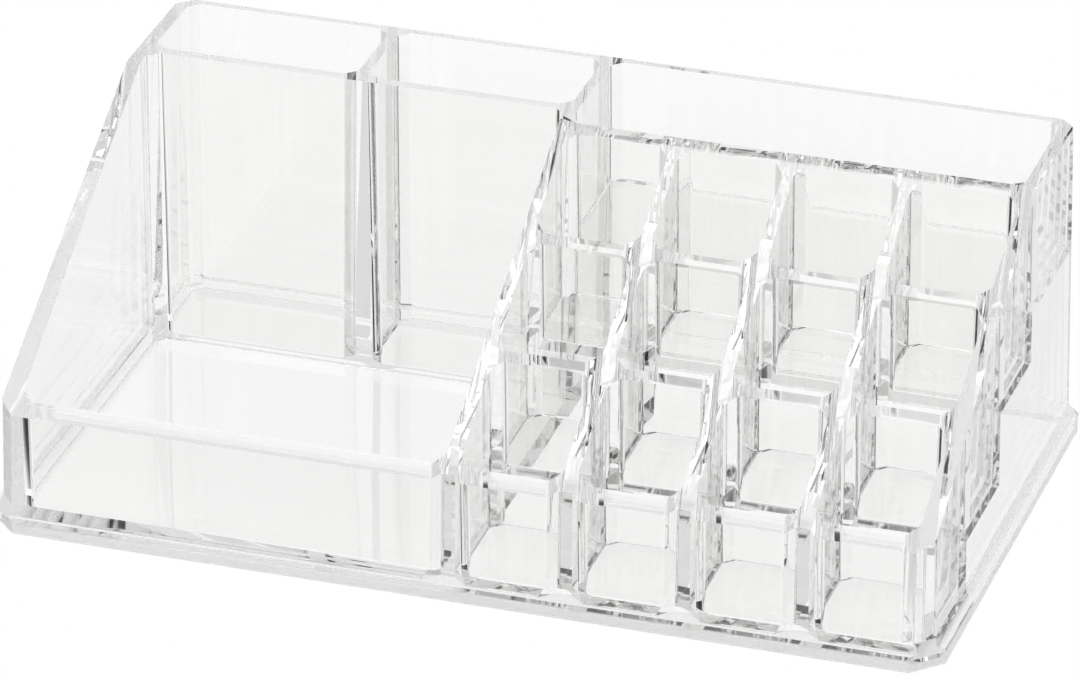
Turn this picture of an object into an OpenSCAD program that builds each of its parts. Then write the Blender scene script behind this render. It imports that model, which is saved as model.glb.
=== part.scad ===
// Desk organiser in clear moulded plastic: an open tray and two tall bins on
// the left, a stepped block of small cells with a long rear trough on the right.
// One sloping cut, from the low front wall up to the rim, trims every wall.
// Lengths are in millimetres and angles in degrees. The origin is the middle
// of the underside: +X runs to the right, +Y to the back and +Z up.

/* [Overall] */
// Width of the foot rim, left to right
base_w = 225; // [205:1:260]
// Depth of the foot rim, front to back
base_d = 130; // [128:1:150]
// Height of the rim above the table
height = 78; // [72:1:95]
// Height of the front wall, where the slope starts
front_h = 28.8; // [24:0.2:34]
// Slope of the wall faces, so that the moulding leaves its tool
draft = 0.7; // [0.3:0.1:1.2]

/* [Foot rim] */
// Thickness of the foot plate
base_h = 4; // [3:0.5:5]
// Flat ledge of the plate outside the walls
ledge = 1; // [0.6:0.1:2]
// Width of the flared skirt at the foot of the outer walls
skirt_w = 1.4; // [0.6:0.1:2]
// Height of that skirt
skirt_h = 2.4; // [1:0.1:4]
// Corner cut of the foot plate
base_corner = 6.7; // [5:0.1:9]
// Corner cut of the outer walls
body_corner = 3.6; // [2:0.1:5]

/* [Walls, thickness at the rim] */
// Left and right side walls
side_t = 3.2; // [2.6:0.1:4]
// Front wall, at its top
front_t = 3.85; // [3:0.05:5]
// Back wall
back_t = 2; // [1.6:0.1:3]
// Wall in front of the two bins
bin_wall_t = 2.8; // [2:0.1:3.6]
// Wall between the two bins
bin_divider_t = 2.4; // [2:0.1:3]
// Wall between the bins and the cells
block_t = 2.3; // [2:0.1:3]
// Cross walls between the rows of cells
cross_t = 2.6; // [2:0.1:3.2]
// Walls between the columns of cells
cell_divider_t = 2.4; // [2:0.1:3]

/* [Compartments] */
// Width of each bin
bin_w = 49.85; // [40:0.05:56]
// Depth of each bin, front to back
bin_d = 25.6; // [18:0.1:32]
// Depth of the front row of cells
front_row_d = 25.5; // [23:0.1:26.5]
// Depth of the middle row of cells
middle_row_d = 25.9; // [23:0.1:26.5]
// Depth of the back row of cells
back_row_d = 24.5; // [22:0.1:26.5]
// Upright corner cut inside each compartment
corner = 2.6; // [1.5:0.1:3.5]
// Small fillet, cut flat, where walls meet the floors
foot = 1.2; // [0.6:0.1:1.6]

/* [Steps] */
// Height of the middle row's floor above the table
middle_floor_h = 18; // [14:0.5:20]
// Height of the back row's floor above the table
back_floor_h = 36; // [30:0.5:38]
// Height of the rear trough's floor above the table
trough_floor_h = 48; // [44:0.5:52]
// Thickness of the raised floors
slab_t = 2.5; // [2:0.1:3]

/* [Front grooves] */
// Width of an upright groove at the front face
groove_w = 7.6; // [5:0.1:9]
// Width of its flat bottom
groove_bottom_w = 3.4; // [2:0.1:4.5]
// Depth of the groove
groove_deep = 2; // [1:0.1:2.4]

/* [Hidden] */
columns = 4;
lean_rate = tan(draft);
over = cross_t/2;
over_top = height + over;
reach = 2*base_w;
clear = "whitesmoke";

// Where the outer faces stand, from the middle of the part
outer_x = base_w/2 - ledge - skirt_w;
outer_y = base_d/2 - ledge - skirt_w;
skirt_top = base_h + skirt_h;
rim_x = outer_x - (height - skirt_top)*lean_rate;
rim_y = outer_y - (height - skirt_top)*lean_rate;

// The slope runs from the top of the front wall to the third cross wall
front_y = -outer_y + (front_h - skirt_top)*lean_rate;
row_y = [front_y + front_t,
         front_y + front_t + front_row_d + cross_t,
         front_y + front_t + front_row_d + middle_row_d + 2*cross_t];
row_d = [front_row_d, middle_row_d, back_row_d];
row_end = row_y + row_d;
row_floor = [base_h, middle_floor_h, back_floor_h, trough_floor_h];
slope_y = row_y[2] + back_row_d + cross_t;
slope_rise = (height - front_h)/(slope_y - front_y);

// Inner faces at the height of the rim
in_x = rim_x - side_t;
in_y = rim_y - back_t;
bin_y = in_y - bin_d;
block_x0 = -in_x + 2*bin_w + bin_divider_t;
block_x1 = block_x0 + block_t;
cell_w = (in_x - block_x1 - (columns - 1)*cell_divider_t)/columns;
cell_pitch = cell_w + cell_divider_t;
groove_x = [for (i = [0:columns - 1])
  i == 0 ? (block_x0 + block_x1)/2 : block_x1 - cell_divider_t/2 + i*cell_pitch];

// How far a face has moved from where it stands at the rim
function lean(z) = (height - z)*lean_rate;
// Height of the cut top of the walls at a depth y
function top_z(y) = min(height, front_h + slope_rise*(y - front_y));
// A wall face that looks forward, or back, and meets the cut top at y
function fore(y, z) = y + lean(top_z(y)) - lean(z);
function aft(y, z) = y - lean(top_z(y)) + lean(z);

// A drawing in X and Z, carried from y0 to y1
module along_y(y0, y1)
  translate([0, y1, 0]) rotate([90, 0, 0])
    linear_extrude(y1 - y0) children();

// A drawing in Y and Z, carried across the whole part
module along_x()
  translate([-reach/2, 0, 0]) rotate([90, 0, 90])
    linear_extrude(reach) children();

// The room between two leaning side faces, given at the rim
module between(x0, x1)
  along_y(-reach/2, reach/2)
    polygon([[x0 + lean(0), 0], [x1 - lean(0), 0],
             [x1 - lean(over_top), over_top], [x0 + lean(over_top), over_top]]);

// A leaning cut across an upright corner whose middle is at x, y at height z
module corner_cut(x, y, z, side_x, side_y, rate)
  translate([x, y, z])
    rotate([0, 0, atan2(side_y, side_x)])
      rotate([0, -atan(sqrt(2)*rate), 0])
        translate([0, -reach/2, -reach/2]) cube(reach);

// The four corner cuts of a box that is wx by wy from its middle
module four_corners(wx, wy, z, leg, rate)
  for (sx = [-1, 1], sy = [-1, 1])
    corner_cut(sx*(wx - leg/2), sy*(wy - leg/2), z, sx, sy, rate);

// The outside of the walls, before the slope is cut
module drafted_block()
  difference() {
    intersection() {
      along_y(-reach/2, reach/2)
        polygon([[-outer_x - skirt_h*lean_rate, base_h],
                 [outer_x + skirt_h*lean_rate, base_h],
                 [rim_x, height], [-rim_x, height]]);
      along_x()
        polygon([[-outer_y - skirt_h*lean_rate, base_h],
                 [outer_y + skirt_h*lean_rate, base_h],
                 [rim_y, height], [-rim_y, height]]);
    }
    four_corners(rim_x, rim_y, height, body_corner, lean_rate);
  }

// The flared skirt that carries the walls on to the foot plate
module skirt()
  difference() {
    intersection() {
      along_y(-reach/2, reach/2)
        polygon([[-outer_x - skirt_w, base_h], [outer_x + skirt_w, base_h],
                 [outer_x, skirt_top], [-outer_x, skirt_top]]);
      along_x()
        polygon([[-outer_y - skirt_w, base_h], [outer_y + skirt_w, base_h],
                 [outer_y, skirt_top], [-outer_y, skirt_top]]);
    }
    four_corners(outer_x, outer_y, skirt_top, body_corner, skirt_w/skirt_h);
  }

// Everything that lies under the sloping cut
module outside()
  intersection() {
    union() {
      drafted_block();
      skirt();
    }
    along_x()
      polygon([[-base_d, base_h], [base_d, base_h], [base_d, height],
               [slope_y, height], [-base_d, height - slope_rise*(slope_y + base_d)]]);
  }

// A compartment x0 to x1 by y0 to y1 at the rim, down to its floor: the
// faces lean in, the corners are cut across and the side feet are filled
module pocket(x0, x1, y0, y1, z)
  difference() {
    along_y(y0 - over, y1 + over)
      polygon([[x0 + lean(z) + foot, z], [x1 - lean(z) - foot, z],
               [x1 - lean(z + foot), z + foot], [x1 - lean(over_top), over_top],
               [x0 + lean(over_top), over_top], [x0 + lean(z + foot), z + foot]]);
    translate([(x0 + x1)/2, (y0 + y1)/2, 0])
      four_corners((x1 - x0)/2, (y1 - y0)/2, height, corner, -lean_rate);
  }

module tray_pocket()
  pocket(-in_x, block_x0, aft(row_y[0], height), fore(bin_y - bin_wall_t, height), base_h);

module bin_pocket(i)
  pocket(-in_x + i*(bin_w + bin_divider_t), -in_x + i*(bin_w + bin_divider_t) + bin_w,
         bin_y, in_y, base_h);

module cell_pocket(i, row)
  pocket(block_x1 + i*cell_pitch, block_x1 + i*cell_pitch + cell_w,
         aft(row_y[row], height), fore(row_end[row], height), row_floor[row]);

module trough_pocket()
  pocket(block_x1, in_x, slope_y, in_y, trough_floor_h);

// The hollow under the stepped floors, open below and widening downwards
module stair_hollow() {
  z1 = middle_floor_h - slab_t;
  z2 = back_floor_h - slab_t;
  z3 = trough_floor_h - slab_t;
  y1 = aft(row_y[1], z1);
  y2 = aft(row_y[2], z2);
  y3 = aft(slope_y, z3);
  intersection() {
    along_x()
      polygon([[y1 - (z1 + over)*lean_rate, -over], [y1, z1],
               [y2 - (z2 - z1)*lean_rate, z1], [y2, z2],
               [y3 - (z3 - z2)*lean_rate, z2], [y3, z3],
               [in_y - lean(z3), z3],
               [in_y - lean(z3) + (z3 + over)*lean_rate, -over]]);
    along_y(-reach/2, reach/2)
      polygon([[block_x1 + lean(z3), z3], [in_x - lean(z3), z3],
               [in_x - lean(z3) + (z3 + over)*lean_rate, -over],
               [block_x1 + lean(z3) - (z3 + over)*lean_rate, -over]]);
  }
}

// A wall across the part, y0 to y1 at its cut top, with feet on the floors in
// front of it and behind it. It ends below at z and is not yet cut above.
module wall_across(y0, y1, floor_before, floor_behind, z)
  along_x()
    polygon(concat(
      [[fore(y0, over_top), over_top],
       [fore(y0, floor_before + foot), floor_before + foot],
       [fore(y0, floor_before) - foot, floor_before]],
      z < floor_before ? [[fore(y0, floor_before), floor_before], [fore(y0, z), z]] : [],
      z < floor_behind ? [[aft(y1, z), z], [aft(y1, floor_behind), floor_behind]] : [],
      [[aft(y1, floor_behind) + foot, floor_behind],
       [aft(y1, floor_behind + foot), floor_behind + foot],
       [aft(y1, over_top), over_top]]));

// A strip of the body between two upright planes, above a height z
module strip(x0, x1, z)
  intersection() {
    outside();
    translate([x0, -reach/2, z]) cube([x1 - x0, reach, reach]);
  }

// A strip for an upright wall inside the part, with room for its corner cuts
module inner_strip(x, t, y0, y1, z)
  intersection() {
    strip(x - lean(0) - corner, x + t + lean(0) + corner, z);
    translate([-reach/2, y0, 0]) cube([reach, y1 - y0, reach]);
  }

// A flat floor between two leaning walls, with its top at z
module raised_floor(y0, y1, z, thick = slab_t)
  intersection() {
    between(block_x1, in_x);
    along_x()
      polygon([[aft(y0, z - thick), z - thick], [fore(y1, z - thick), z - thick],
               [fore(y1, z), z], [aft(y0, z), z]]);
  }

// An upright groove in the front face
module groove(x)
  translate([x, -outer_y, 0])
    linear_extrude(height)
      polygon([[-groove_w/2, -skirt_w - ledge], [groove_w/2, -skirt_w - ledge],
               [groove_w/2, 0], [groove_bottom_w/2, groove_deep],
               [-groove_bottom_w/2, groove_deep], [-groove_w/2, 0]]);

// The foot plate: floor of the tray, the bins and the front row of cells
module base_plate()
  color(clear)
    difference() {
      linear_extrude(base_h)
        polygon([[base_corner - base_w/2, -base_d/2], [base_w/2 - base_corner, -base_d/2],
                 [base_w/2, base_corner - base_d/2], [base_w/2, base_d/2 - base_corner],
                 [base_w/2 - base_corner, base_d/2], [base_corner - base_w/2, base_d/2],
                 [-base_w/2, base_d/2 - base_corner], [-base_w/2, base_corner - base_d/2]]);
      stair_hollow();
    }

// The places of the walls that run across. The upright walls stop at them.
module front_place()
  intersection() {
    between(-in_x, in_x);
    along_x()
      polygon([[-base_d, base_h], [aft(row_y[0], base_h) + foot, base_h],
               [aft(row_y[0], base_h + foot), base_h + foot],
               [aft(row_y[0], over_top), over_top], [-base_d, over_top]]);
  }

module back_place() {
  intersection() {
    between(-in_x, in_x);
    along_x()
      polygon([[base_d, base_h], [fore(in_y, base_h) - foot, base_h],
               [fore(in_y, base_h + foot), base_h + foot],
               [fore(in_y, over_top), over_top], [base_d, over_top]]);
  }
  intersection() {
    between(block_x1, in_x);
    along_x()
      polygon([[in_y, trough_floor_h], [fore(in_y, trough_floor_h) - foot, trough_floor_h],
               [fore(in_y, trough_floor_h + foot), trough_floor_h + foot],
               [in_y, trough_floor_h + foot]]);
  }
}

module bin_front_place()
  intersection() {
    between(-in_x, block_x0);
    wall_across(bin_y - bin_wall_t, bin_y, base_h, base_h, base_h);
  }

// The cross wall behind a row: each is the riser of one step
module riser_place(row)
  intersection() {
    between(block_x1, in_x);
    wall_across(row_end[row], row_end[row] + cross_t, row_floor[row], row_floor[row + 1],
                row == 0 ? base_h : row_floor[row] - slab_t);
  }

// The low front wall, with a groove before each upright wall of the cells
module front_wall()
  color(clear)
    difference() {
      intersection() {
        outside();
        front_place();
      }
      for (x = groove_x) groove(x);
    }

// The back wall, with a foot on the floors of the bins and of the trough
module back_wall()
  color(clear)
    difference() {
      intersection() {
        outside();
        back_place();
      }
      stair_hollow();
    }

// The wall between the tray and the bins
module bin_front_wall()
  color(clear)
    intersection() {
      outside();
      bin_front_place();
    }

module cross_wall(row)
  color(clear)
    difference() {
      intersection() {
        outside();
        riser_place(row);
      }
      stair_hollow();
    }

module cross_wall_1() cross_wall(0);
module cross_wall_2() cross_wall(1);
module cross_wall_3() cross_wall(2);

module middle_row_floor() color(clear) raised_floor(row_y[1], row_end[1], middle_floor_h);
module back_row_floor() color(clear) raised_floor(row_y[2], row_end[2], back_floor_h);
module trough_floor() color(clear) raised_floor(slope_y, in_y, trough_floor_h);

// All that an upright wall beside the cells runs into. The floors are taken
// deeper here and reach into the walls around them, so that no film is left.
module steps() {
  for (row = [0:2]) riser_place(row);
  raised_floor(row_y[1] - over, row_end[1] + over, middle_floor_h, slab_t + over);
  raised_floor(row_y[2] - over, row_end[2] + over, back_floor_h, slab_t + over);
  raised_floor(slope_y - over, in_y + over, trough_floor_h, slab_t + over);
  stair_hollow();
}

// Side walls carry the corner cuts and the feet of their compartments
module left_side_wall()
  color(clear)
    difference() {
      strip(-reach/2, -in_x + lean(0) + corner, base_h);
      tray_pocket();
      bin_pocket(0);
      front_place();
      bin_front_place();
      back_place();
    }

module right_side_wall()
  color(clear)
    difference() {
      strip(in_x - lean(0) - corner, reach/2, base_h);
      for (row = [0:2]) cell_pocket(columns - 1, row);
      trough_pocket();
      front_place();
      back_place();
      steps();
    }

// The wall between the two bins
module bin_divider()
  color(clear)
    difference() {
      inner_strip(-in_x + bin_w, bin_divider_t, bin_y - bin_wall_t/2, in_y + back_t/2, base_h);
      bin_pocket(0);
      bin_pocket(1);
      bin_front_place();
      back_place();
    }

// The wall between the tray and bins on its left and the cells on its right
module block_wall()
  color(clear)
    difference() {
      inner_strip(block_x0, block_t, row_y[0] - front_t/2, in_y + back_t/2, base_h);
      tray_pocket();
      bin_pocket(1);
      for (row = [0:2]) cell_pocket(0, row);
      trough_pocket();
      front_place();
      bin_front_place();
      back_place();
      steps();
    }

// A short wall between cells i - 1 and i of one row
module cell_divider(i, row)
  color(clear)
    difference() {
      inner_strip(block_x1 + i*cell_pitch - cell_divider_t, cell_divider_t,
                  row_y[row] - cross_t/2, row_end[row] + cross_t/2, row_floor[row]);
      cell_pocket(i - 1, row);
      cell_pocket(i, row);
      front_place();
      for (r = [0:2]) riser_place(r);
    }

module front_row_divider_1() cell_divider(1, 0);
module front_row_divider_2() cell_divider(2, 0);
module front_row_divider_3() cell_divider(3, 0);
module middle_row_divider_1() cell_divider(1, 1);
module middle_row_divider_2() cell_divider(2, 1);
module middle_row_divider_3() cell_divider(3, 1);
module back_row_divider_1() cell_divider(1, 2);
module back_row_divider_2() cell_divider(2, 2);
module back_row_divider_3() cell_divider(3, 2);

base_plate();
front_wall();
back_wall();
left_side_wall();
right_side_wall();
bin_front_wall();
bin_divider();
block_wall();
cross_wall_1();
cross_wall_2();
cross_wall_3();
middle_row_floor();
back_row_floor();
trough_floor();
front_row_divider_1();
front_row_divider_2();
front_row_divider_3();
middle_row_divider_1();
middle_row_divider_2();
middle_row_divider_3();
back_row_divider_1();
back_row_divider_2();
back_row_divider_3();
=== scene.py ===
# %% [markdown]
# # A clear moulded desk organizer
# The CAD model gives every wall of the organizer its place. Here it gets its looks: one clear
# moulding with rounded edges on a plain white floor, seen as in the photograph.

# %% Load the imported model
import math

import bmesh
import bpy
from mathutils import Matrix, Vector


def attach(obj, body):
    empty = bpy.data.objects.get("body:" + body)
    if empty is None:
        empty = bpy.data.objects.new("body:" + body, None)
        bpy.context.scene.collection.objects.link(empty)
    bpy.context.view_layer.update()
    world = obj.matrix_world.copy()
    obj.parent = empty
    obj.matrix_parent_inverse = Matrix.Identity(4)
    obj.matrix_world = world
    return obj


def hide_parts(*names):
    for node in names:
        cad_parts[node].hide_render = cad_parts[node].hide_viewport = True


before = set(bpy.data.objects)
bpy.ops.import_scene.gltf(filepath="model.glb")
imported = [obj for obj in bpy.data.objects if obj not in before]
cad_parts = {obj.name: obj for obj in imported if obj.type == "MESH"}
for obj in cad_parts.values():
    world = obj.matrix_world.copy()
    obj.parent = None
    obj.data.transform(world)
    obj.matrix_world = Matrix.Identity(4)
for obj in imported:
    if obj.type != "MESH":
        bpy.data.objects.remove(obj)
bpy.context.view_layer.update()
MM = 0.001

# %% [markdown]
# ## Camera
# The photograph was taken with a long lens from the front, a little to the right and well above.
# A camera could be set by eye, but clear walls overlap in so many places that a small error
# shows. So its angles, distance and focal length come from a fit to the object's straight edges.

# %% Set the camera
AZIMUTH, ELEVATION, ROLL = 17.576, 27.083, 0.155
FOCAL_PX, FRAME_PX = 8712.685, 1080
DISTANCE = 1989.887 * MM
AIM, AIM_RIGHT, AIM_UP = Vector((0, -5, 35)) * MM, 1.091 * MM, 2.376 * MM
SENSOR, FAR = 36, 20
turn, lift, roll = (math.radians(v) for v in (AZIMUTH, ELEVATION, ROLL))
back = Vector((math.sin(turn) * math.cos(lift), -math.cos(turn) * math.cos(lift), math.sin(lift)))
right = Vector((math.cos(turn), math.sin(turn), 0))
up = back.cross(right)
side = right * math.cos(roll) + up * math.sin(roll)
top = up * math.cos(roll) - right * math.sin(roll)
eye = AIM + right * AIM_RIGHT + up * AIM_UP + back * DISTANCE
camera_data = bpy.data.cameras.new("camera")
camera_data.sensor_width = SENSOR
camera_data.lens = FOCAL_PX / FRAME_PX * SENSOR
camera_data.clip_end = FAR
camera = bpy.data.objects.new("camera", camera_data)
bpy.context.scene.collection.objects.link(camera)
camera.matrix_world = Matrix((
    (side.x, top.x, back.x, eye.x),
    (side.y, top.y, back.y, eye.y),
    (side.z, top.z, back.z, eye.z),
    (0, 0, 0, 1)))
bpy.context.scene.camera = camera
print("camera at", [round(c, 3) for c in eye], "lens", round(camera_data.lens, 1), "mm")

# %% [markdown]
# ## The sizes that the moulding is built from
# The moulding is described as its mould would be: sizes at the rim, and how much each face leans
# so that the part comes out of the mould. The CAD nodes only tell where their corners are, so
# these values, in millimetres, are written out. They are the same as in the part's source, except
# the three radii, which belong to the scene: the solids have flat cuts or sharp edges there.

# %% Set the sizes
BINS, ROWS, CELLS = 2, 3, 4
H = 78.0
LEAN = math.tan(math.radians(0.7))
HALF_W, HALF_D = 112.5, 65.0
BASE_H, LEDGE, SKIRT_W, SKIRT_H = 4.0, 1.0, 1.4, 2.4
BASE_CORNER, BODY_CORNER, CORNER = 6.7, 3.6, 2.6
CORNER_R, FOOT_R, EDGE_R = 0.6, 0.5, 0.3
SIDE_T, FRONT_T, BACK_T, BIN_WALL_T = 3.2, 3.85, 2.0, 2.8
BIN_DIVIDER_T, BLOCK_T, CROSS_T, CELL_T = 2.4, 2.3, 2.6, 2.4
BIN_W, BIN_D, FRONT_H = 49.85, 25.6, 28.8
ROW_D = (25.5, 25.9, 24.5)
FLOOR_Z = (4.0, 18.0, 36.0, 48.0)
SLAB = 2.5
GROOVE_W, GROOVE_BOTTOM_W, GROOVE_DEEP = 7.6, 3.4, 2.0
OVER = 5.0

outer_x = HALF_W - LEDGE - SKIRT_W
outer_y = HALF_D - LEDGE - SKIRT_W
skirt_top = BASE_H + SKIRT_H
rim_x = outer_x - (H - skirt_top) * LEAN
rim_y = outer_y - (H - skirt_top) * LEAN
front_y = -outer_y + (FRONT_H - skirt_top) * LEAN
row_y = [front_y + FRONT_T]
row_y.append(row_y[0] + ROW_D[0] + CROSS_T)
row_y.append(row_y[1] + ROW_D[1] + CROSS_T)
row_end = [y + d for y, d in zip(row_y, ROW_D)]
slope_y = row_end[2] + CROSS_T
rise = (H - FRONT_H) / (slope_y - front_y)
in_x, in_y = rim_x - SIDE_T, rim_y - BACK_T
bin_y = in_y - BIN_D
block_x0 = -in_x + BINS * BIN_W + (BINS - 1) * BIN_DIVIDER_T
block_x1 = block_x0 + BLOCK_T
cell_w = (in_x - block_x1 - (CELLS - 1) * CELL_T) / CELLS
pitch = cell_w + CELL_T


def lean(z):
    "How far a leaning face has moved at height z from its place at the rim."
    return (H - z) * LEAN


def top_z(y):
    "Height of the sloping cut."
    return min(H, FRONT_H + rise * (y - front_y))


def fore(y):
    "Where a face that looks forward would stand at the rim."
    return y + lean(top_z(y))


def aft(y):
    "Where a face that looks back would stand at the rim."
    return y - lean(top_z(y))


print("cells", round(cell_w, 2), "mm wide at a pitch of", round(pitch, 2), "mm")

# %% [markdown]
# ## Flat-faced blocks
# Every form here is a block bounded by planes: the body, the compartments and the hollow below.
# Corner points could be worked out one by one, but the faces lean and the cut corners lean with
# them. So a large cube is cut back by each plane in turn, and each cut is closed with a flat face.

# %% Make a block from planes
CUBE, TINY = 600, 1e-5


def block(name, planes):
    "A cube, cut back by planes, each given by a point and the direction that is cut away."
    bm = bmesh.new()
    bmesh.ops.create_cube(bm, size=CUBE)
    for point, normal in planes:
        bmesh.ops.bisect_plane(bm, geom=bm.verts[:] + bm.edges[:] + bm.faces[:], dist=TINY,
                               plane_co=point, plane_no=normal, clear_outer=True)
        rim = [edge for edge in bm.edges if edge.is_boundary]
        if rim:
            bmesh.ops.edgeloop_fill(bm, edges=rim)
    bmesh.ops.recalc_face_normals(bm, faces=bm.faces[:])
    mesh = bpy.data.meshes.new(name)
    bm.to_mesh(mesh)
    bm.free()
    return mesh


def box_planes(x0, x1, y0, y1, z0, z1, taper, corner=0, z_at=H):
    """A block x0 to x1 by y0 to y1 at height z_at. Its sides lean in by taper per unit of depth,
    and its four upright corners are cut across by the same leg all the way down."""
    planes = [((x0, 0, z_at), (-1, 0, -taper)), ((x1, 0, z_at), (1, 0, -taper)),
              ((0, y0, z_at), (0, -1, -taper)), ((0, y1, z_at), (0, 1, -taper)),
              ((0, 0, z0), (0, 0, -1)), ((0, 0, z1), (0, 0, 1))]
    if corner:
        for sx, x in ((-1, x0), (1, x1)):
            for sy, y in ((-1, y0), (1, y1)):
                planes.append(((x - sx * corner, y, z_at), (sx, sy, -2 * taper)))
    return planes


ROUND_STEPS = 4


def round_edges(mesh, radius, chosen):
    "Rounds the edges of a block that a test chooses, before it is joined to the others."
    bm = bmesh.new()
    bm.from_mesh(mesh)
    bmesh.ops.bevel(bm, geom=[edge for edge in bm.edges if chosen(edge)], offset=radius,
                    segments=ROUND_STEPS, profile=0.5, affect="EDGES", clamp_overlap=True)
    bm.to_mesh(mesh)
    bm.free()
    return mesh


STEEP, LEAST_TURN, MOST_TURN = 0.95, 0.5, 1.0
TOUCH = 1e-3


def upright(edge):
    "An edge at either side of a corner cut: nearly vertical, and turning by about 45 degrees."
    way = (edge.verts[1].co - edge.verts[0].co).normalized()
    return abs(way.z) > STEEP and LEAST_TURN < edge.calc_face_angle(0) < MOST_TURN


def on_floor(z):
    "A test for the edges around the floor at height z."
    return lambda edge: all(abs(v.co.z - z) < TOUCH for v in edge.verts)


# %% [markdown]
# ## The body and its compartments
# The real organizer is one piece of plastic, shaped outside by the mould and inside by its cores.
# The CAD solids could be shown, but they are cut into separate walls, and clear plastic would
# show every joint as a seam. So the body is built whole, as the foot plate, the flared skirt and
# the leaning block with its sloping cut, and each compartment is cut out of it by its core.

# %% Build the solid body
slope_normal = (0, -rise, 1)
root_z = BASE_H - 1
walls = block("walls", box_planes(-rim_x, rim_x, -rim_y, rim_y, root_z, H, -LEAN, BODY_CORNER)
              + [((0, slope_y, H), slope_normal)])
body_parts = [
    block("plate", box_planes(-HALF_W, HALF_W, -HALF_D, HALF_D, 0, BASE_H, 0, BASE_CORNER)),
    block("skirt", box_planes(-outer_x, outer_x, -outer_y, outer_y, root_z, skirt_top,
                              -SKIRT_W / SKIRT_H, BODY_CORNER, skirt_top)),
    round_edges(walls, CORNER_R, upright),
]

# %% Build the compartments
pockets = []


def pocket(name, x0, x1, y0, y1, z):
    "The core of one compartment, with round corners and a round foot."
    mesh = block(name, box_planes(x0, x1, y0, y1, z, H + OVER, LEAN, CORNER))
    round_edges(mesh, CORNER_R, upright)
    pockets.append(round_edges(mesh, FOOT_R, on_floor(z)))


pocket("tray", -in_x, block_x0, aft(row_y[0]), fore(bin_y - BIN_WALL_T), FLOOR_Z[0])
for i in range(BINS):
    x = -in_x + i * (BIN_W + BIN_DIVIDER_T)
    pocket("bin", x, x + BIN_W, bin_y, in_y, FLOOR_Z[0])
for row in range(ROWS):
    for i in range(CELLS):
        x = block_x1 + i * pitch
        pocket("cell", x, x + cell_w, aft(row_y[row]), fore(row_end[row]), FLOOR_Z[row])
pocket("trough", block_x1, in_x, slope_y, in_y, FLOOR_Z[3])

# %% [markdown]
# ## The hollow and the grooves
# Plastic cools best in walls of even thickness. So the moulding is taken to be open from below
# under its raised floors, in three steps, which one photograph can't prove. Its front wall has a
# shallow groove before each upright wall that meets it. Both could be drawn into the outline, but
# as blocks that are cut out of the body they follow the sizes of the floors and walls beside them.

# %% Build the hollow under the steps, and the grooves
cuts = []
ceiling = FLOOR_Z[3] - SLAB
side_at = lean(ceiling)
back_at = in_y - side_at
for floor, y in ((FLOOR_Z[1], row_y[1]), (FLOOR_Z[2], row_y[2]), (FLOOR_Z[3], slope_y)):
    z = floor - SLAB
    y_front = aft(y) + lean(z)
    planes = [((block_x1 + side_at, 0, ceiling), (-1, 0, LEAN)),
              ((in_x - side_at, 0, ceiling), (1, 0, LEAN)),
              ((0, y_front, z), (0, -1, LEAN)), ((0, back_at, ceiling), (0, 1, LEAN)),
              ((0, 0, -OVER), (0, 0, -1)), ((0, 0, z), (0, 0, 1))]
    cuts.append(block("hollow", planes))
for i in range(CELLS):
    x = (block_x0 + block_x1) / 2 if i == 0 else block_x1 - CELL_T / 2 + i * pitch
    flare = (GROOVE_W - GROOVE_BOTTOM_W) / 2
    planes = [((x - GROOVE_W / 2, -outer_y, 0), (-GROOVE_DEEP, flare, 0)),
              ((x + GROOVE_W / 2, -outer_y, 0), (GROOVE_DEEP, flare, 0)),
              ((0, -outer_y + GROOVE_DEEP, 0), (0, 1, 0)), ((0, -HALF_D - OVER, 0), (0, -1, 0)),
              ((0, 0, BASE_H), (0, 0, -1)), ((0, 0, H), (0, 0, 1))]
    cuts.append(block("groove", planes))
print("blocks:", len(body_parts), "body,", len(pockets), "compartments,", len(cuts), "cuts")

# %% [markdown]
# ## One moulding
# One mesh could be drawn by hand, but the sloping cut meets every wall at another height. So
# booleans join the body's blocks and cut the compartments. The manifold solver keeps closed blocks
# like these closed, which clear plastic needs: light has to know where it is inside. Then points
# that coincide are merged, and flat faces become one face again.

# %% Put them together
def new_object(name, mesh):
    "Puts a mesh into the scene."
    obj = bpy.data.objects.new(name, mesh)
    bpy.context.scene.collection.objects.link(obj)
    return obj


def combine(target, tool_mesh, operation):
    "Joins a block to the target, or cuts it out."
    tool = new_object("tool", tool_mesh)
    modifier = target.modifiers.new("cut", "BOOLEAN")
    modifier.operation = operation
    modifier.solver = "MANIFOLD"
    modifier.object = tool
    bpy.context.view_layer.update()
    depsgraph = bpy.context.evaluated_depsgraph_get()
    result = bpy.data.meshes.new_from_object(target.evaluated_get(depsgraph))
    target.modifiers.clear()
    target.data = result
    bpy.data.objects.remove(tool)


moulding = new_object("moulding", body_parts[0])
for mesh in body_parts[1:]:
    combine(moulding, mesh, "UNION")
for mesh in pockets + cuts:
    combine(moulding, mesh, "DIFFERENCE")
moulding.data.transform(Matrix.Scale(MM, 4))

# %% Clean the mesh
SAME_POINT, SAME_PLANE = 2e-6, math.radians(0.1)
bm = bmesh.new()
bm.from_mesh(moulding.data)
bmesh.ops.remove_doubles(bm, verts=bm.verts[:], dist=SAME_POINT)
bmesh.ops.dissolve_limit(bm, angle_limit=SAME_PLANE, verts=bm.verts[:], edges=bm.edges[:])
print("moulding:", len(bm.faces), "faces,", round(bm.calc_volume() * 1e6, 1), "cm3,",
      sum(not edge.is_manifold for edge in bm.edges), "open edges")
bm.to_mesh(moulding.data)
bm.free()

# %% [markdown]
# ## Rounded edges
# Every edge of a moulding has a small radius. In clear plastic these radii draw the fine bright
# and dark lines that make the object visible. On opaque plastic a shader could fake them, but
# light that passes through needs real faces, so they are geometry here. The large faces must stay
# optically flat: each corner takes its normal from the largest face that meets there, or
# everything seen through the walls would swim.

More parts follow.
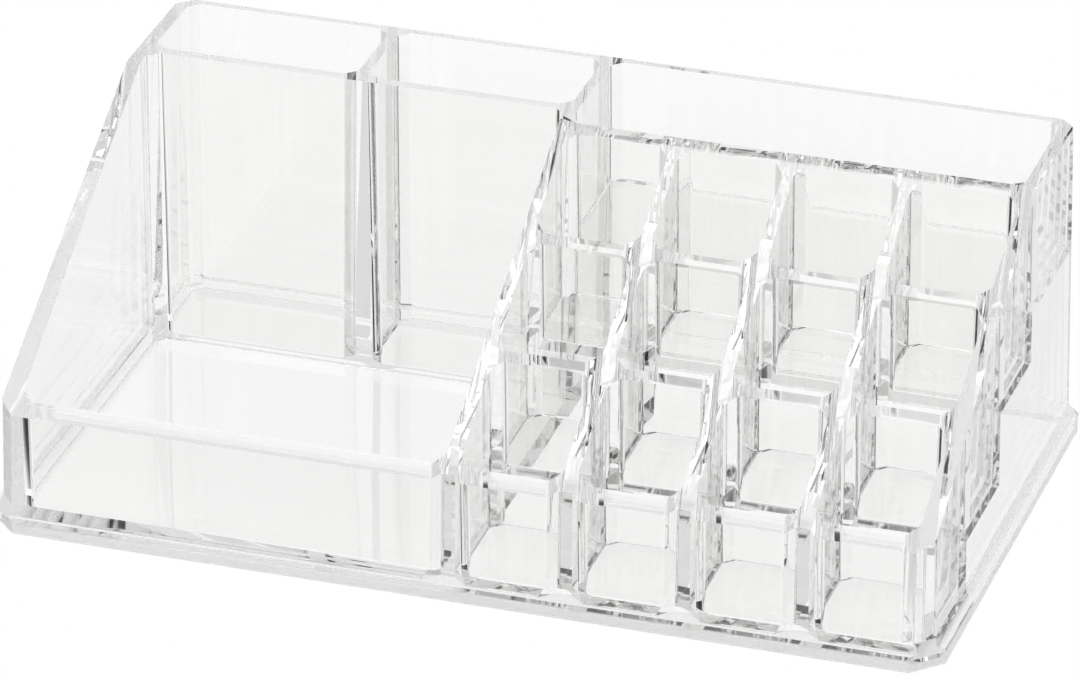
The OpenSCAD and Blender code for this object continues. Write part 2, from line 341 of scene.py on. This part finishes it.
# %% Round the edges and keep the faces flat
SHARP, EDGE_STEPS = math.radians(30), 3
bevel = moulding.modifiers.new("edge radius", "BEVEL")
bevel.width = EDGE_R * MM
bevel.segments = EDGE_STEPS
bevel.limit_method = "ANGLE"
bevel.angle_limit = SHARP
flat = moulding.modifiers.new("flat faces", "WEIGHTED_NORMAL")
flat.mode = "FACE_AREA"
flat.weight = 100
for polygon in moulding.data.polygons:
    polygon.use_smooth = True
print("edges rounded by", EDGE_R, "mm")

# %% [markdown]
# ## Clear plastic
# The plastic is polystyrene: clear as glass, a little grey, with a slight haze where it is handled.
# It could be a plain glass shader, but a real moulding is never that even. A group of nodes holds
# what changes over the surface. One soft noise gives haze and tint, and a finer one gives the
# shallow waves that bend what is seen through a moulded wall. The outer ring of the underside,
# which slides on the table, is scuffed. The level wall tops get a painted shade: a dark tint makes
# them a touch greyer. The plastic
# also keeps a little light along the way, so rims and edges, where the way is long, look grey.
# For the lamp's shadows it counts as nearly clear, or its inside would be too dark.

# %% Helpers for nodes
def add_node(tree, kind, given=None, **settings):
    "Adds a node. Its settings are its own options; what it is given are values or sockets."
    made = tree.nodes.new("ShaderNode" + kind)
    for name, value in settings.items():
        setattr(made, name, value)
    for name, value in (given or {}).items():
        if isinstance(value, bpy.types.NodeSocket):
            tree.links.new(value, made.inputs[name])
        else:
            made.inputs[name].default_value = value
    return made


def calculate(tree, operation, one, two=0.0):
    "One step of arithmetic."
    made = add_node(tree, "Math", {0: one, 1: two}, operation=operation)
    return made.outputs[0]


def spread(tree, value, from_min, from_max, to_min, to_max, **settings):
    "Maps one range of values to another."
    made = add_node(tree, "MapRange", {"Value": value, "From Min": from_min, "From Max": from_max,
                                       "To Min": to_min, "To Max": to_max}, **settings)
    return made.outputs[0]


# %% Moulded surface: tint, haze, waves and a painted shade on the wall tops
SMEARS_PER_M, SMEAR_START, SMEAR_FULL = 22.0, 0.42, 0.68
SCUFF_START, SCUFF_FULL = -9 * MM, -6 * MM
UNDERSIDE, ABOVE_IT = 0.1 * MM, 0.5 * MM
# The band below the cut where the wall tops get their painted shade.
TOP_SHADE_FADE, TOP_SHADE_FULL = 0.9 * MM, 0.2 * MM
TILTED, LEVEL = 0.90, 0.97


def moulded_surface():
    group = bpy.data.node_groups.new("moulded surface", "ShaderNodeTree")
    for name, kind in (("Clear tint", "Color"), ("Grey tint", "Color"), ("Painted top shade", "Color"),
                       ("Least haze", "Float"), ("Most haze", "Float"),
                       ("Scuffed foot haze", "Float"), ("Wave count", "Float"),
                       ("Painted shade on level tops", "Float")):
        group.interface.new_socket(name, in_out="INPUT", socket_type="NodeSocket" + kind)
    for name, kind in (("Tint", "Color"), ("Haze", "Float"), ("Waves", "Float")):
        group.interface.new_socket(name, in_out="OUTPUT", socket_type="NodeSocket" + kind)
    given, put = group.nodes.new("NodeGroupInput"), group.nodes.new("NodeGroupOutput")
    want, fill = given.outputs, put.inputs
    place = add_node(group, "TexCoord").outputs["Object"]
    at = add_node(group, "SeparateXYZ", {0: place}).outputs

    # Handling leaves soft smears of haze and tint.
    smear = add_node(group, "TexNoise", {"Vector": place, "Scale": SMEARS_PER_M,
                                         "Detail": 3.0}).outputs[0]
    haze = spread(group, smear, SMEAR_START, SMEAR_FULL, want["Least haze"], want["Most haze"])
    tint = add_node(group, "Mix", {0: smear, 6: want["Clear tint"], 7: want["Grey tint"]},
                    data_type="RGBA").outputs[2]

    # The outer ring of the underside is scuffed.
    across = calculate(group, "SUBTRACT", calculate(group, "ABSOLUTE", at["X"]), HALF_W * MM)
    along = calculate(group, "SUBTRACT", calculate(group, "ABSOLUTE", at["Y"]), HALF_D * MM)
    out = calculate(group, "MAXIMUM", across, along)
    ring = spread(group, out, SCUFF_START, SCUFF_FULL, 0.0, 1.0)
    under = spread(group, at["Z"], UNDERSIDE, ABOVE_IT, want["Scuffed foot haze"], 0.0)
    haze = calculate(group, "MAXIMUM", haze, calculate(group, "MULTIPLY", ring, under))

    # Level faces at the height of the cut are wall tops. They get a painted shade: a dark tint
    # makes them a touch greyer.
    climb = calculate(group, "MULTIPLY", calculate(group, "SUBTRACT", at["Y"], front_y * MM), rise)
    cut = calculate(group, "MINIMUM", calculate(group, "ADD", climb, FRONT_H * MM), H * MM)
    top_shade_band = spread(group, calculate(group, "SUBTRACT", cut, at["Z"]), TOP_SHADE_FADE, TOP_SHADE_FULL, 0.0, 1.0)
    facing = add_node(group, "NewGeometry").outputs["Normal"]
    upward = add_node(group, "SeparateXYZ", {0: facing}).outputs["Z"]
    rim = spread(group, upward, TILTED, LEVEL, 0.0, want["Painted shade on level tops"])
    tint_and_top_shade = add_node(group, "Mix", {0: calculate(group, "MULTIPLY", top_shade_band, rim), 6: tint,
                                     7: want["Painted top shade"]}, data_type="RGBA").outputs[2]

    waves = add_node(group, "TexNoise", {"Vector": place, "Scale": want["Wave count"],
                                         "Detail": 1.0}).outputs[0]
    for name, socket in (("Tint", tint_and_top_shade), ("Haze", haze), ("Waves", waves)):
        group.links.new(socket, fill[name])
    print("moulded surface:", len(group.nodes), "nodes")
    return group


surface = moulded_surface()

# %% Make the clear plastic
SURFACE = {
    "Clear tint": (0.987, 0.987, 0.984, 1), "Grey tint": (0.97, 0.97, 0.965, 1),
    # The dark tint and its strength on the level wall tops are a painted shade.
    "Painted top shade": (0.2, 0.2, 0.195, 1), "Painted shade on level tops": 0.25,
    "Least haze": 0.01, "Most haze": 0.03, "Scuffed foot haze": 0.7, "Wave count": 45.0}
WAVE_HEIGHT = 0.04 * MM
ABSORBED_PER_M = 0.4


def clear_plastic():
    mat = bpy.data.materials.new("clear_plastic")
    mat.use_nodes = True
    tree = mat.node_tree
    tree.nodes.clear()
    detail = add_node(tree, "Group", node_tree=surface)
    for name, value in SURFACE.items():
        detail.inputs[name].default_value = value
    bump = add_node(tree, "Bump", {"Strength": 1.0, "Distance": WAVE_HEIGHT,
                                   "Height": detail.outputs["Waves"]})
    plastic = add_node(tree, "BsdfPrincipled", {
        "Base Color": detail.outputs["Tint"], "Roughness": detail.outputs["Haze"],
        "Normal": bump.outputs["Normal"], "IOR": 1.5, "Transmission Weight": 1.0, "Metallic": 0.0})
    shade = add_node(tree, "BsdfTransparent", {"Color": (0.98, 0.98, 0.98, 1)})
    shadow_ray = add_node(tree, "LightPath").outputs["Is Shadow Ray"]
    mix = add_node(tree, "MixShader", {0: shadow_ray, 1: plastic.outputs[0], 2: shade.outputs[0]})
    depth = add_node(tree, "VolumeAbsorption", {"Color": (0.0, 0.0, 0.0, 1),
                                                "Density": ABSORBED_PER_M})
    add_node(tree, "OutputMaterial", {"Surface": mix.outputs[0], "Volume": depth.outputs[0]})
    print("clear plastic: absorption", ABSORBED_PER_M, "per metre")
    return mat


plastic = clear_plastic()

# %% [markdown]
# ## Dressing the CAD model
# The CAD solids stay for collision. Shown in clear plastic themselves, they would have a seam at
# every joint. So the one moulding stands for all of them, and it moves with the only body there is.

# %% Dress the model
for piece in (moulding, *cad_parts.values()):
    piece.data.materials.clear()
    piece.data.materials.append(plastic)
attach(moulding, "root")
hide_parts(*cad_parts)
print("the moulding stands for", len(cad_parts), "CAD nodes")

# %% [markdown]
# ## Floor
# Clear things are photographed on a white table with the light coming up through it: then every
# wall shows only by the light that it bends or keeps. A floor that shines on everything would be
# simpler, but the edges would then have nothing dark to bend. So only the camera sees this floor,
# as even white, and the plastic sees through it to the surroundings below.

# %% Lay the floor
HALF_FLOOR, FLOOR_GAP, FLOOR_SHINE = 6, 0.2 * MM, 1.0
floor_mesh = bpy.data.meshes.new("floor")
bm = bmesh.new()
bmesh.ops.create_grid(bm, x_segments=1, y_segments=1, size=HALF_FLOOR)
bm.to_mesh(floor_mesh)
bm.free()
floor = new_object("floor", floor_mesh)
floor.location.z = -FLOOR_GAP
floor_mat = bpy.data.materials.new("floor")
floor_mat.use_nodes = True
tree = floor_mat.node_tree
tree.nodes.clear()
seen = add_node(tree, "LightPath").outputs["Is Camera Ray"]
white = add_node(tree, "Emission", {"Color": (1, 1, 1, 1), "Strength": FLOOR_SHINE})
through = add_node(tree, "BsdfTransparent")
mix = add_node(tree, "MixShader", {0: seen, 1: through.outputs[0], 2: white.outputs[0]})
add_node(tree, "OutputMaterial", {"Surface": mix.outputs[0]})
floor.data.materials.append(floor_mat)
print("floor:", round(floor.dimensions.x), "m wide, shining at", FLOOR_SHINE)

# %% [markdown]
# ## Light
# One large soft lamp hangs above. The surroundings are bright below and behind, dim overhead and
# dark at the sides and in front. In even light clear plastic has no outline, so photographers of
# glass stand dark cards around it. Cards could be planes beside the object, but each corner would
# then need its own. So they are small round patches of the surroundings, below the horizon, where
# the square corners of the organizer turn the light: one card serves all corners that turn it the
# same way. Edges and corners draw thin dark lines, and the flat walls stay clear. A card is full
# dark where the cosine of the angle to its middle passes CARD_FULL, and gone below CARD_EDGE.

# %% Hang the lamp
LAMP_SIZE, LAMP_WATTS, LAMP_AT = 1.6, 8, (0, 0.2, 1.4)
lamp_data = bpy.data.lights.new("overhead", "AREA")
lamp_data.shape = "RECTANGLE"
lamp_data.size = lamp_data.size_y = LAMP_SIZE
lamp_data.energy = LAMP_WATTS
lamp = bpy.data.objects.new("overhead", lamp_data)
bpy.context.scene.collection.objects.link(lamp)
lamp.location = LAMP_AT
lamp.rotation_euler = (-lamp.location).to_track_quat("-Z", "Y").to_euler()
print("lamp:", LAMP_SIZE, "m wide,", LAMP_WATTS, "W")

# %% Light the surroundings
BACK_EDGE, BACK_FULL, BACK_LIGHT = 0.25, 0.7, 0.8
TOP_EDGE, TOP_FULL, TOP_LIGHT = 0.55, 0.85, 0.3
TABLE_LIGHT, HORIZON = 1.0, 0.02
CARD_DIP = math.radians(-27.0)
CARDS = ((17.6, 1.0), (-17.6, 1.0), (162.4, 1.0), (197.6, 1.0), (252.4, 0.4), (72.4, 0.25))
CARD_EDGE, CARD_FULL = 0.986, 0.9945
world = bpy.data.worlds.new("studio")
bpy.context.scene.world = world
world.use_nodes = True
tree = world.node_tree
direction = add_node(tree, "TexCoord").outputs["Generated"]
way = add_node(tree, "SeparateXYZ", {0: direction}).outputs
behind = spread(tree, way["Y"], BACK_EDGE, BACK_FULL, 0.0, BACK_LIGHT)
above = spread(tree, way["Z"], TOP_EDGE, TOP_FULL, 0.0, TOP_LIGHT)
room = calculate(tree, "MAXIMUM", behind, above)
table = TABLE_LIGHT
level = math.cos(CARD_DIP)
for degrees, dark in CARDS:
    turn = math.radians(degrees)
    card = (math.cos(turn) * level, math.sin(turn) * level, math.sin(CARD_DIP))
    near = add_node(tree, "VectorMath", {0: direction, 1: card}, operation="DOT_PRODUCT")
    lit = spread(tree, near.outputs["Value"], CARD_EDGE, CARD_FULL, TABLE_LIGHT,
                 TABLE_LIGHT * (1.0 - dark), interpolation_type="SMOOTHSTEP")
    table = calculate(tree, "MINIMUM", table, lit)
below = spread(tree, way["Z"], -HORIZON, HORIZON, 1.0, 0.0)
strength = add_node(tree, "Mix", {0: below, 2: room, 3: table}, data_type="FLOAT").outputs[0]
sky = tree.nodes["Background"]
sky.inputs["Color"].default_value = (1, 1, 1, 1)
tree.links.new(strength, sky.inputs["Strength"])
print("dark cards, degrees from +X and darkness:", CARDS)

# %% [markdown]
# ## Colour and light paths
# Light meets many walls on its way through, and runs along inside them. With Blender's usual
# number of bounces it would be lost and leave black patches, so it gets many more. White has to
# stay white, as in the photograph, so the colours are shown as they are, with no film curve.

# %% Set colour and light paths
BOUNCES, SEE_THROUGH = 96, 64
scene = bpy.context.scene
scene.view_settings.view_transform = "Standard"
scene.cycles.max_bounces = BOUNCES
scene.cycles.transmission_bounces = BOUNCES
scene.cycles.glossy_bounces = BOUNCES
scene.cycles.transparent_max_bounces = SEE_THROUGH
scene.cycles.caustics_refractive = True
scene.cycles.caustics_reflective = False
print("bounces:", BOUNCES)
